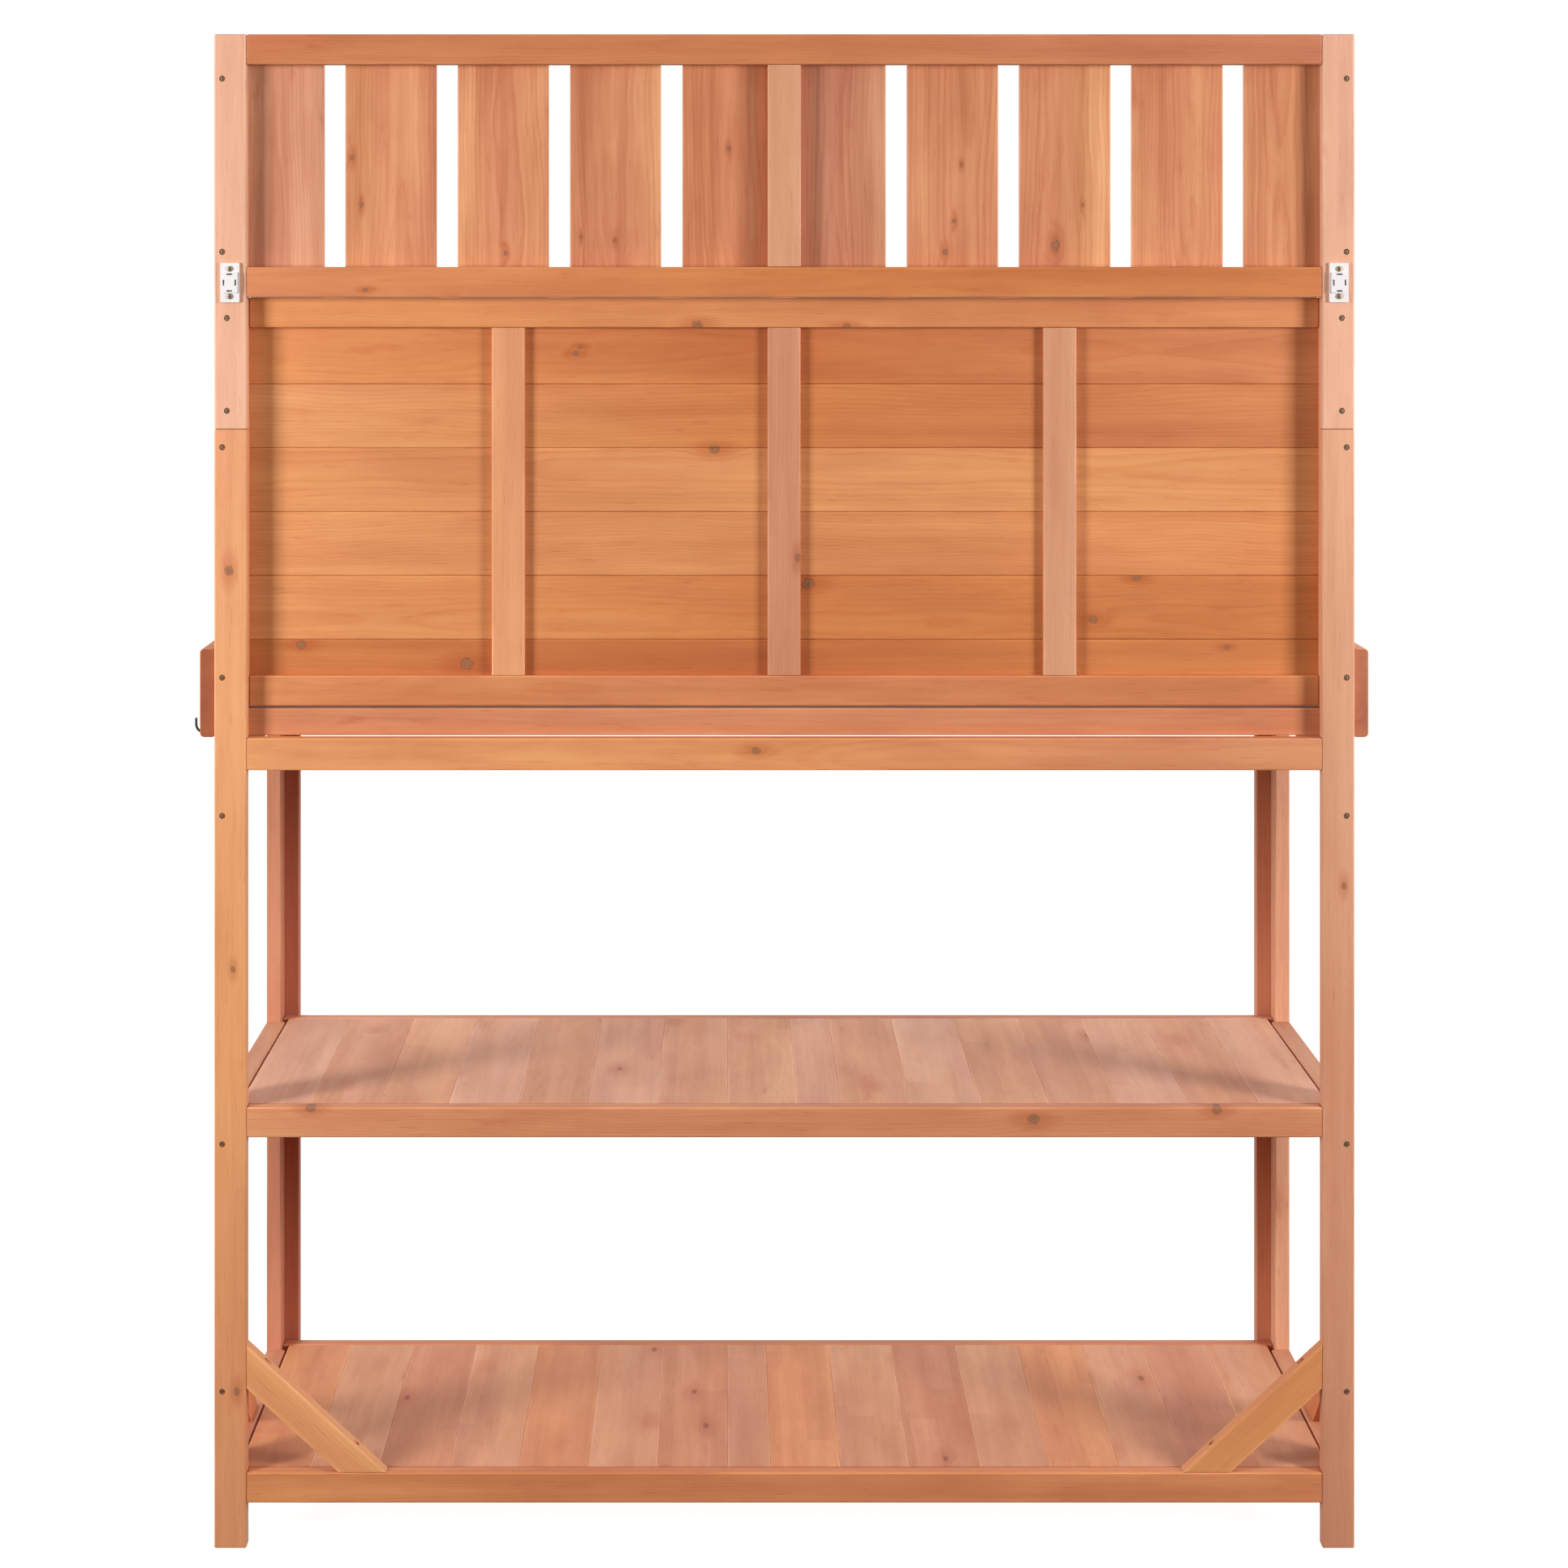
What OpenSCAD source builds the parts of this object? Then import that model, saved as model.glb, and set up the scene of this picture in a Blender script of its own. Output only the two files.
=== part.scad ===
// Timber potting bench: a base with a worktop and two plank shelves, and a back
// frame above it with a boarded panel and a row of upright slats.
// +Z is up, the user stands at -Y, the back faces +Y, and left is -X.

/* [Overall size] */
// Height from the floor to the top of the back frame
bench_h = 1600; // [1400:5:1750]
// Width over the outer faces of the legs
frame_w = 1205; // [1000:5:1400]
// Depth from the front of the front legs to the back of the back posts
frame_d = 425; // [360:5:480]

/* [Timber sections] */
// Width of the standard strip of timber, seen on the rails and the side boards
strip_w = 32; // [28:0.5:36]
// Width of the wider strip, seen on the posts, legs, braces and the back rail below the worktop
wide_strip_w = 34; // [30:0.5:36]
// Thickness of the standard strip of timber
strip_t = 17; // [15:0.5:19]
// Thickness of the side rails
side_rail_t = 22; // [19:0.5:24]
// Thickness of planks, slats and panel boards
plank_t = 12; // [10:0.5:12]
// Width of the battens
batten_w = 35; // [28:1:40]
// How far the long edges of the timber are eased
ease = 1.8; // [1:0.1:2.5]

/* [Levels above the floor] */
// Underside of the bottom rails
bottom_z = 48; // [30:1:80]
// Underside of the shelf rails
shelf_z = 434; // [380:2:480]
// Underside of the worktop, which is the top of the base
base_h = 856.5; // [800:0.5:880]
// Drop of the back rail below the worktop
table_rail_drop = 0.5; // [0:0.5:6]
// Underside of the middle rail of the back frame
mid_z = 1322; // [1290:2:1340]
// Joint between the lower and upper lengths of the back posts
splice_z = 1182.5; // [1100:2.5:1240]

/* [Worktop] */
// Thickness of the worktop
worktop_t = 29; // [27:0.5:34]
// Number of boards in the worktop
worktop_board_count = 5; // [4:1:6]
// Height of the side aprons
apron_h = 94; // [80:1:110]
// How far the aprons reach down past the underside of the worktop
apron_drop = 1; // [0:0.5:5]
// Distance from the back of the posts to the back end of the aprons
apron_inset = 10; // [5:1:20]
// How far the long edges of the aprons are rounded
apron_round = 4.5; // [1.5:0.5:6]

/* [Shelves] */
// Width of a shelf plank
shelf_plank_w = 74; // [70:0.5:76]
// Number of full planks in a shelf
shelf_plank_count = 15; // [12:1:15]
// Gap between the end planks and the side rails
shelf_end_gap = 2.5; // [1.5:0.5:4]

/* [Back frame] */
// Number of upright slats
slat_count = 10; // [8:1:10]
// Width of a slat
slat_w = 96.5; // [80:0.5:100]
// Number of boards in the panel
panel_board_count = 6; // [5:1:6]
// Cover width of a panel board
panel_board_w = 68; // [60:1:68]
// Thickness of the rails, stiles and battens of the panel
panel_frame_t = 8; // [7:0.5:12]
// Distance from the centre to the outer panel battens
batten_pitch = 293; // [250:1:330]

/* [Braces] */
// Clear length below a brace, along the rail it stands on
brace_run = 97; // [70:1:130]
// Clear height below a brace, along the post it leans on
brace_rise = 89; // [70:1:130]

/* [Hooks and brackets] */
// Diameter of the wire of the tool hooks
hook_wire = 2.8; // [2.5:0.1:4]
// Radius of the hook's bend, on the centre of the wire
hook_bend = 9; // [8:0.5:11]
// Distance from one hook to the next
hook_pitch = 90; // [70:5:110]
// Width of a wall bracket
bracket_w = 20; // [19:0.5:26]
// Height of a wall bracket
bracket_h = 41.5; // [38:0.5:44]
// Height of the centre of the wall brackets above the floor
bracket_z = 1337.5; // [1335:0.5:1345]

/* [Hidden] */
$fn = 48;

LEFT = -1;
RIGHT = 1;

// Colours
post_colour = "#E3A27C";
rail_colour = "#CE8154";
board_colour = "#D98F5C";
plank_colour = "#CB9A7E";
screw_colour = "#4A3A30";
hook_colour = "#2C3A33";
bracket_colour = "#EDE9E6";

// Stations across the width, measured from the middle of the bench
half_w = frame_w / 2;
side_in = half_w - strip_t;
post_in = half_w - wide_strip_w;
rail_in = half_w - side_rail_t;

// Stations in depth, measured forwards from the back of the posts
back_side_end = strip_t + strip_w;
front_face = frame_d - strip_t;
front_side = front_face - strip_w;
front_rail = front_face - strip_t;

// Back frame
mid_top = mid_z + strip_w;
top_z = bench_h - strip_w;
panel_z = base_h + worktop_t + 2.5;
panel_top = mid_z - 0.3;
side_splice_z = panel_top;
board_gap = 0.6;
slat_gap = (2 * side_in - slat_count * slat_w) / (slat_count - 1);
panel_board_y = strip_t + panel_frame_t;

// Worktop
worktop_top = base_h + worktop_t;
worktop_front = front_face;
worktop_board_w = (worktop_front - 2 * strip_t) / worktop_board_count;
crossbar_h = worktop_t - plank_t;
table_rail_z = base_h - table_rail_drop - wide_strip_w;

// Shelves
shelf_half_w = rail_in - shelf_end_gap;
filler_w = 2 * shelf_half_w - shelf_plank_count * shelf_plank_w;
plank_end_gap = 1;
cleat_h = 17;

// Wood screws, which clear their bores by a little
head_r = 3.1;
head_h = 3;
sink = 1;
shank_r = 2;
shank_l = 34;
bore_gap = 0.1;
// Heights of the screws that hold the back posts to the side boards
back_screw_z = [165.5, 427, 774, 920, 1163.5];
upper_screw_z = [1370, 1553];
splice_screw_z = [1202, 1300];
front_screw_z = [165.5, 427, 774];
screw_x = (half_w + side_in) / 2;
splice_screw_x = side_in + 3.5;
// Stations of the screws that hold the aprons, from the back of the posts
apron_screw_y = [(strip_t + back_side_end) / 2, front_side / 2 + 20, front_side + strip_w / 2];
apron_screw_z = base_h + worktop_t / 2;
apron_screw_l = 27;

// Braces, and the seats of the heads of their screws, measured from the inner corner
brace_slope = atan2(brace_rise, brace_run);
brace_foot = brace_run + wide_strip_w / sin(brace_slope);
brace_head = brace_rise + wide_strip_w / cos(brace_slope);
brace_z = bottom_z + strip_w;
foot_screw_in = brace_foot - 32;
foot_screw_up = 24;
post_screw_in = 15;
post_screw_up = brace_head - 20;
brace_bore_l = 14;

// Hooks and wall brackets
hook_drop = 28;
hook_corner = 5;
hook_leg = 6;
hook_tip = 6;
hook_thread = 12;
hook_stand = hook_leg + 2 * hook_bend + hook_wire / 2;
hook_z = base_h + 23.5;
hook_y = [for (i = [0:2]) 130 + i * hook_pitch];
apron_out = half_w + strip_t;
bracket_base_t = 3;
bracket_t = 6;
bracket_boss_w = 16.4;
bracket_boss_h = 21.5;
bracket_corner = 1;
slot_l = 6.3;
slot_w = 1.8;
slot_dx = 6.2;
slot_dz = 8.8;
slot_floor = 1.2;
tunnel_h = 1.8;
bracket_x = (half_w + post_in) / 2;
bracket_screw_dz = 14.5;
bracket_screw_r = 1.5;
bracket_screw_l = 18;
bracket_head_r = 3;
bracket_head_h = 1.8;

// Moves of the bench's own middle that put the origin under the middle of its whole box
shift_x = -hook_stand / 2;
shift_y = frame_d / 2 - bracket_t / 2;

// ---- Helpers ----

// Places children given as (x from the middle, depth forwards from the back, z)
module place() {
  translate([shift_x, shift_y, 0]) mirror([0, 1, 0]) children();
}

// Rectangle with eased corners, a wide and b high
module eased(a, b, r = ease) {
  translate([r, 0]) square([a - 2 * r, b]);
  translate([0, r]) square([a, b - 2 * r]);
  for (u = [r, a - r], v = [r, b - r]) translate([u, v]) circle(r);
}

// Timber with its grain along X, from x0 to x1
module timber_x(x0, x1, y, z, t, h) {
  translate([x0, y, z]) rotate([90, 0, 90]) linear_extrude(x1 - x0) eased(t, h);
}

// Timber with its grain along the depth, from y0 to y1
module timber_y(y0, y1, x, z, t, h, r = ease) {
  translate([x, y1, z]) rotate([90, 0, 0]) linear_extrude(y1 - y0) eased(t, h, r);
}

// Timber with its grain upright, from z0 to z1
module timber_z(z0, z1, x, y, a, b) {
  translate([x, y, z0]) linear_extrude(z1 - z0) eased(a, b);
}

// Low X corner of a part that runs from a to b (a < b) out from the middle
function from_side(side, a, b) = side == RIGHT ? a : -b;

// Screw along +Y from its head at the origin, driven into a face at y = 0
module screw(length = shank_l) {
  translate([0, sink, 0]) rotate([-90, 0, 0]) cylinder(r = head_r, h = head_h);
  translate([0, sink + head_h, 0]) rotate([-90, 0, 0]) cylinder(r = shank_r, h = length);
}

// Bore for that screw
module screw_bore(length = shank_l) {
  translate([0, -1, 0]) rotate([-90, 0, 0]) cylinder(r = head_r + bore_gap, h = sink + head_h + 1);
  rotate([-90, 0, 0]) cylinder(r = shank_r + bore_gap, h = sink + head_h + length + bore_gap);
}

// Puts children at each screw of the back posts and the front legs
module at_back_screws(side) {
  for (z = concat(back_screw_z, upper_screw_z)) translate([side * screw_x, 0, z]) children();
  for (z = splice_screw_z) translate([side * splice_screw_x, 0, z]) children();
}

module at_front_screws(side) {
  for (z = front_screw_z)
    translate([side * screw_x, frame_d, z]) mirror([0, 1, 0]) children();
}

// Puts what is drawn on a brace's own outline at the back of the bench
module at_back_brace(side) {
  mirror([side == LEFT ? 1 : 0, 0, 0]) translate([post_in, strip_t, brace_z])
    rotate([90, 0, 0]) children();
}

// Puts what is drawn on a brace's own outline at the side of the bench
module at_side_brace(side) {
  translate([from_side(side, side_in, half_w), back_side_end, brace_z])
    rotate([90, 0, 90]) mirror([1, 0, 0]) children();
}

// Puts children at a brace's two screws, which run into the rail and the post along +Z
module at_brace_screws() {
  translate([-foot_screw_in, foot_screw_up, strip_t / 2]) rotate([90, 0, 0]) children();
  translate([-post_screw_in, post_screw_up, strip_t / 2]) rotate([0, 90, 0]) children();
}

module brace_screw() {
  cylinder(r = head_r, h = head_h);
  translate([0, 0, head_h]) cylinder(r = shank_r, h = shank_l);
}

module brace_bore() {
  translate([0, 0, -brace_bore_l]) cylinder(r = head_r + bore_gap, h = brace_bore_l + head_h);
  cylinder(r = shank_r + bore_gap, h = head_h + shank_l + bore_gap);
}

// Puts children at each apron screw, turned to run in from the outer face
module at_apron_screws(side) {
  for (y = apron_screw_y)
    translate([side * apron_out, y, apron_screw_z]) rotate([0, 0, side * 90]) children();
}

// Puts children at each hook, with +X pointing out of the right apron
module at_hooks() {
  for (y = hook_y) translate([apron_out, y, hook_z]) children();
}

// Puts children at the screws of one wall bracket
module at_bracket_screws(side) {
  for (dz = [-bracket_screw_dz, bracket_screw_dz])
    translate([side * bracket_x, 0, bracket_z + dz]) children();
}

module bracket_bore() {
  rotate([-90, 0, 0]) translate([0, 0, -bracket_base_t - 1])
    cylinder(r = bracket_screw_r + bore_gap, h = bracket_screw_l + 1.5);
}

// ---- Legs and posts ----

module lower_back_post(side) {
  color(post_colour) place() difference() {
    timber_z(0, splice_z, from_side(side, post_in, half_w), 0, wide_strip_w, strip_t);
    at_back_screws(side) screw_bore();
    at_back_brace(side) at_brace_screws() brace_bore();
  }
}

module upper_back_post(side) {
  color(post_colour) place() difference() {
    timber_z(splice_z, bench_h, from_side(side, post_in, half_w), 0, wide_strip_w, strip_t);
    at_back_screws(side) screw_bore();
    at_bracket_screws(side) bracket_bore();
  }
}

module lower_back_side_board(side) {
  color(rail_colour) place() difference() {
    timber_z(0, side_splice_z, from_side(side, side_in, half_w), strip_t, strip_t, strip_w);
    at_back_screws(side) screw_bore();
    at_side_brace(side) at_brace_screws() brace_bore();
    at_apron_screws(side) screw_bore(apron_screw_l);
  }
}

module upper_back_side_board(side) {
  color(rail_colour) place() difference() {
    timber_z(side_splice_z, bench_h, from_side(side, side_in, half_w), strip_t, strip_t, strip_w);
    at_back_screws(side) screw_bore();
  }
}

module front_leg_face(side) {
  color(post_colour) place() difference() {
    timber_z(0, base_h, from_side(side, post_in, half_w), front_face, wide_strip_w, strip_t);
    at_front_screws(side) screw_bore();
  }
}

module front_leg_side(side) {
  color(rail_colour) place() difference() {
    timber_z(0, base_h, from_side(side, side_in, half_w), front_side, strip_t, strip_w);
    at_front_screws(side) screw_bore();
  }
}

// ---- Rails of the base ----

module side_rails(z) {
  color(rail_colour) place()
    for (side = [LEFT, RIGHT]) difference() {
      timber_y(back_side_end, front_side, from_side(side, rail_in, half_w), z,
               side_rail_t, strip_w);
      if (z == bottom_z) at_side_brace(side) at_brace_screws() brace_bore();
    }
}

module back_rail(z, h = strip_w) {
  color(rail_colour) place() difference() {
    timber_x(-post_in, post_in, 0, z, strip_t, h);
    if (z == bottom_z)
      for (side = [LEFT, RIGHT]) at_back_brace(side) at_brace_screws() brace_bore();
  }
}

module base_front_rail(z) {
  color(rail_colour) place() timber_x(-side_in, side_in, front_rail, z, strip_t, strip_w);
}

// Diagonal strip, its foot running from the origin's left towards -X and its head up +Y
module brace() {
  difference() {
    linear_extrude(strip_t)
      polygon([[-brace_run, 0], [0, brace_rise], [0, brace_head], [-brace_foot, 0]]);
    at_brace_screws() brace_bore();
  }
}

module back_brace(side) {
  color(board_colour) place() at_back_brace(side) brace();
}

module side_brace(side) {
  color(board_colour) place() at_side_brace(side) brace();
}

// ---- Back frame ----

module slat(i) {
  x = -side_in + (i - 1) * (slat_w + slat_gap);
  color(post_colour) place() timber_z(mid_z, bench_h, x, strip_t, slat_w, plank_t);
}

module slat_batten() {
  color(post_colour) place() timber_z(mid_top, top_z, -batten_w / 2, 0, batten_w, strip_t);
}

module panel_rail(z) {
  color(rail_colour) place() timber_x(-post_in, post_in, strip_t, z, panel_frame_t, strip_w);
}

module panel_stiles() {
  color(rail_colour) place()
    for (side = [LEFT, RIGHT])
      timber_z(panel_z, panel_top, from_side(side, post_in, side_in), strip_t,
               side_in - post_in, panel_frame_t);
}

module panel_battens() {
  color(post_colour) place()
    for (x = [-batten_pitch, 0, batten_pitch])
      timber_z(panel_z + strip_w, panel_top - strip_w, x - batten_w / 2, strip_t,
               batten_w, panel_frame_t);
}

// Tongued and grooved board, with a small V on both faces at each joint
module matchboard(has_groove, has_tongue) {
  w = panel_board_w - board_gap / 2;
  t = plank_t;
  v = 1;
  third = t / 3;
  tongue = 4;
  difference() {
    polygon([[v, 0], [t - v, 0], [t, v], [t, w - v], [t - v, w], [v, w], [0, w - v], [0, v]]);
    if (has_groove)
      translate([third, -1]) square([third, tongue + 1.5]);
  }
  if (has_tongue)
    translate([third + 0.2, w - 0.1]) square([third - 0.4, tongue + 0.1]);
}

module panel_boards() {
  color(board_colour) place()
    for (i = [0:panel_board_count - 1])
      translate([-side_in, panel_board_y, panel_z + 1.5 + i * panel_board_w])
        rotate([90, 0, 90]) linear_extrude(2 * side_in)
          matchboard(i > 0, i < panel_board_count - 1);
}

// ---- Worktop ----

module worktop_back_rail() {
  color(rail_colour) place() timber_x(-side_in, side_in, strip_t, base_h, strip_t, worktop_t);
}

module worktop_front_rail() {
  color(rail_colour) place() timber_x(-half_w, half_w, worktop_front, base_h, strip_t, worktop_t);
}

module worktop_side_rails() {
  color(rail_colour) place() difference() {
    for (side = [LEFT, RIGHT])
      timber_y(back_side_end, worktop_front, from_side(side, side_in, half_w), base_h,
               strip_t, worktop_t);
    for (side = [LEFT, RIGHT]) at_apron_screws(side) screw_bore(apron_screw_l);
  }
}

module worktop_crossbars() {
  spread = side_in - batten_w / 2;
  color(rail_colour) place()
    for (x = [-spread, -spread / 3, spread / 3, spread])
      timber_y(2 * strip_t, worktop_front, x - batten_w / 2, base_h, batten_w, crossbar_h);
}

module worktop_boards() {
  color(board_colour) place()
    for (i = [0:worktop_board_count - 1])
      timber_x(-side_in, side_in, 2 * strip_t + i * worktop_board_w + board_gap / 2,
               worktop_top - plank_t, worktop_board_w - board_gap, plank_t);
}

// ---- Shelves ----

// Planks laid front to back, with one narrow filler after filler_at planks
module shelf_deck(z, filler_at) {
  y0 = strip_t + plank_end_gap;
  y1 = front_rail - plank_end_gap;
  top = z + strip_w;
  color(plank_colour) place()
    for (i = [0:shelf_plank_count]) {
      width = i == filler_at ? filler_w : shelf_plank_w;
      x = -shelf_half_w + i * shelf_plank_w + (i > filler_at ? filler_w - shelf_plank_w : 0);
      timber_y(y0, y1, x + board_gap / 2, top - plank_t, width - board_gap, plank_t);
    }
}

module cleats(z) {
  top = z + strip_w - plank_t;
  color(rail_colour) place()
    for (y = [strip_t, front_rail - cleat_h])
      timber_x(-shelf_half_w, shelf_half_w, y, top - cleat_h, cleat_h, cleat_h);
}

// ---- Aprons ----

module apron(side) {
  color(board_colour) place() difference() {
    timber_y(apron_inset, frame_d, from_side(side, half_w, apron_out), base_h - apron_drop,
             strip_t, apron_h, apron_round);
    at_apron_screws(side) screw_bore(apron_screw_l);
    if (side == RIGHT) at_hooks() hook_bore();
  }
}

// ---- Fittings ----

module hook_bore() {
  translate([-hook_thread - bore_gap, 0, 0]) rotate([0, 90, 0])
    cylinder(r = hook_wire / 2 + bore_gap, h = hook_thread + 1);
}

// Quarter or half ring of wire in the XZ plane, about the Y axis
module wire_arc(bend, angle) {
  rotate([90, 0, 0]) rotate_extrude(angle = angle) translate([bend, 0]) circle(d = hook_wire);
}

module tool_hook() {
  run = hook_leg - hook_corner;
  cup_z = -hook_drop;
  leg_top = -hook_corner;
  translate([-hook_thread, 0, 0]) rotate([0, 90, 0]) cylinder(d = hook_wire, h = hook_thread + run);
  translate([run, 0, leg_top]) wire_arc(hook_corner, 90);
  translate([hook_leg, 0, cup_z]) cylinder(d = hook_wire, h = leg_top - cup_z);
  translate([hook_leg + hook_bend, 0, cup_z]) rotate([0, 180, 0]) wire_arc(hook_bend, 180);
  translate([hook_leg + 2 * hook_bend, 0, cup_z]) cylinder(d = hook_wire, h = hook_tip);
  translate([hook_leg + 2 * hook_bend, 0, cup_z + hook_tip]) sphere(d = hook_wire);
}

module tool_hooks() {
  color(hook_colour) place() at_hooks() tool_hook();
}

// Block centred on x and z, from depth y0 out to y1 behind the posts
module plate(w, h, y0, y1) {
  translate([-w / 2, -y0, -h / 2]) rotate([90, 0, 0]) linear_extrude(y1 - y0)
    eased(w, h, bracket_corner);
}

// Moulded tie mount: four slots round a raised boss, joined in pairs by tunnels beneath it
module wall_bracket(side) {
  difference() {
    translate([side * bracket_x, 0, bracket_z]) difference() {
      union() {
        plate(bracket_w, bracket_h, 0, bracket_base_t);
        plate(bracket_boss_w, bracket_boss_h, bracket_base_t, bracket_t);
      }
      for (dx = [-slot_dx, slot_dx])
        translate([dx - slot_w / 2, -bracket_t - 1, -slot_l / 2])
          cube([slot_w, bracket_t + 1 - slot_floor, slot_l]);
      for (dz = [-slot_dz, slot_dz])
        translate([-slot_l / 2, -bracket_t - 1, dz - slot_w / 2])
          cube([slot_l, bracket_t + 1 - slot_floor, slot_w]);
      translate([-slot_dx, -slot_floor - tunnel_h, -slot_l / 2])
        cube([2 * slot_dx, tunnel_h, slot_l]);
      translate([-slot_l / 2, -slot_floor - tunnel_h, -slot_dz])
        cube([slot_l, tunnel_h, 2 * slot_dz]);
    }
    at_bracket_screws(side) bracket_bore();
  }
}

module wall_brackets() {
  color(bracket_colour) place() for (side = [LEFT, RIGHT]) wall_bracket(side);
}

module frame_screws() {
  color(screw_colour) place()
    for (side = [LEFT, RIGHT]) {
      at_back_screws(side) screw();
      at_front_screws(side) screw();
    }
}

module apron_screws() {
  color(screw_colour) place() for (side = [LEFT, RIGHT]) at_apron_screws(side) screw(apron_screw_l);
}

module brace_screws() {
  color(screw_colour) place()
    for (side = [LEFT, RIGHT]) {
      at_back_brace(side) at_brace_screws() brace_screw();
      at_side_brace(side) at_brace_screws() brace_screw();
    }
}

module bracket_screws() {
  color(screw_colour) place()
    for (side = [LEFT, RIGHT]) at_bracket_screws(side) translate([0, -bracket_base_t, 0]) {
      rotate([90, 0, 0]) cylinder(r = bracket_head_r, h = bracket_head_h);
      rotate([-90, 0, 0]) cylinder(r = bracket_screw_r, h = bracket_screw_l);
    }
}

lower_back_post(LEFT);  // lower_back_post_left
lower_back_post(RIGHT);  // lower_back_post_right
upper_back_post(LEFT);  // upper_back_post_left
upper_back_post(RIGHT);  // upper_back_post_right
lower_back_side_board(LEFT);  // lower_back_side_board_left
lower_back_side_board(RIGHT);  // lower_back_side_board_right
upper_back_side_board(LEFT);  // upper_back_side_board_left
upper_back_side_board(RIGHT);  // upper_back_side_board_right
front_leg_face(LEFT);  // front_leg_face_left
front_leg_face(RIGHT);  // front_leg_face_right
front_leg_side(LEFT);  // front_leg_side_left
front_leg_side(RIGHT);  // front_leg_side_right
side_rails(bottom_z);  // bottom_side_rails
side_rails(shelf_z);  // shelf_side_rails
side_rails(base_h - strip_w);  // table_side_rails
back_rail(bottom_z);  // bottom_back_rail
back_rail(shelf_z);  // shelf_back_rail
back_rail(table_rail_z, wide_strip_w);  // table_back_rail
base_front_rail(bottom_z);  // bottom_front_rail
base_front_rail(shelf_z);  // shelf_front_rail
base_front_rail(base_h - strip_w);  // table_front_rail
back_rail(mid_z);  // mid_rail
back_rail(top_z);  // top_rail
back_brace(LEFT);  // back_brace_left
back_brace(RIGHT);  // back_brace_right
side_brace(LEFT);  // side_brace_left
side_brace(RIGHT);  // side_brace_right
slat(1);  // slat_1
slat(2);  // slat_2
slat(3);  // slat_3
slat(4);  // slat_4
slat(5);  // slat_5
slat(6);  // slat_6
slat(7);  // slat_7
slat(8);  // slat_8
slat(9);  // slat_9
slat(10);  // slat_10
slat_batten();
panel_rail(panel_top - strip_w);  // panel_top_rail
panel_rail(panel_z);  // panel_bottom_rail
panel_stiles();
panel_battens();
panel_boards();
worktop_back_rail();
worktop_front_rail();
worktop_side_rails();
worktop_crossbars();
worktop_boards();
shelf_deck(shelf_z, 7);  // shelf_planks
cleats(shelf_z);  // shelf_cleats
shelf_deck(bottom_z, 8);  // bottom_planks
cleats(bottom_z);  // bottom_cleats
apron(LEFT);  // apron_left
apron(RIGHT);  // apron_right
wall_brackets();
tool_hooks();
frame_screws();
apron_screws();
brace_screws();
bracket_screws();
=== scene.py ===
import math
import random

import bmesh
import bpy
import numpy as np
from mathutils import Matrix, Vector


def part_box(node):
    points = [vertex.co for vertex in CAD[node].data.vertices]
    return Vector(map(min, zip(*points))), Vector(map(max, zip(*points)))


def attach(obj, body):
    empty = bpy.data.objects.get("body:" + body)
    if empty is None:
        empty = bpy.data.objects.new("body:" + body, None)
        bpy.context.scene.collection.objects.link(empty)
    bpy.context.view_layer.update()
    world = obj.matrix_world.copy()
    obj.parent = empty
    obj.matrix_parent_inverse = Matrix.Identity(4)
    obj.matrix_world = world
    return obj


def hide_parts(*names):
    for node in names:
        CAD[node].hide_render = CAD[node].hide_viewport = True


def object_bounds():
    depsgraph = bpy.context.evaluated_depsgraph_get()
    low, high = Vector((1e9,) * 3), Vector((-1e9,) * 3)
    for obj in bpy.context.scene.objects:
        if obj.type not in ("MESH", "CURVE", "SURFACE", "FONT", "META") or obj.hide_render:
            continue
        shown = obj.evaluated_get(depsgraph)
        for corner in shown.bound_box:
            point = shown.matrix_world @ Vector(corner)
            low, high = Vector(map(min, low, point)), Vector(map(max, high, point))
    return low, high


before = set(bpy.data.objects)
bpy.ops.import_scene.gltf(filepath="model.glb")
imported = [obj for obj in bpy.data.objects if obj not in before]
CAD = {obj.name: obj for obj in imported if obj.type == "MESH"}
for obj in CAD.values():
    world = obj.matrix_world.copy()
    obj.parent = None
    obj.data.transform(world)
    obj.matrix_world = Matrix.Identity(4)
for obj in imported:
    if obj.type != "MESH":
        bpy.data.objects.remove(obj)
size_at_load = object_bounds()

MM = 0.001


# ---- Reading the frame ----

def solids(node):
    """Lowest and highest corner of each separate solid of a CAD node, and its vertices."""
    mesh = CAD[node].data
    co = np.zeros(len(mesh.vertices) * 3)
    mesh.vertices.foreach_get("co", co)
    co = co.reshape(-1, 3)
    edges = np.zeros(len(mesh.edges) * 2, int)
    mesh.edges.foreach_get("vertices", edges)
    keys, merged = np.unique(np.round(co * 1e5).astype(int), axis=0, return_inverse=True)
    merged = merged.ravel()
    parent = list(range(len(keys)))

    def find(i):
        while parent[i] != i:
            parent[i] = parent[parent[i]]
            i = parent[i]
        return i

    for a, b in merged[edges.reshape(-1, 2)]:
        ra, rb = find(a), find(b)
        if ra != rb:
            parent[ra] = rb
    groups = {}
    for i in range(len(co)):
        groups.setdefault(find(merged[i]), []).append(i)
    found = [(co[g].min(0), co[g].max(0), co[g]) for g in groups.values()]
    return sorted(found, key=lambda s: tuple(np.round(s[0], 4)))


# ---- Timber ----

# Light that the wood's surface sends back besides its own colour
SHEEN = 0.014
# Where a board keeps the knots that it doesn't have
NO_KNOT = (9, 9, 0)


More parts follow.
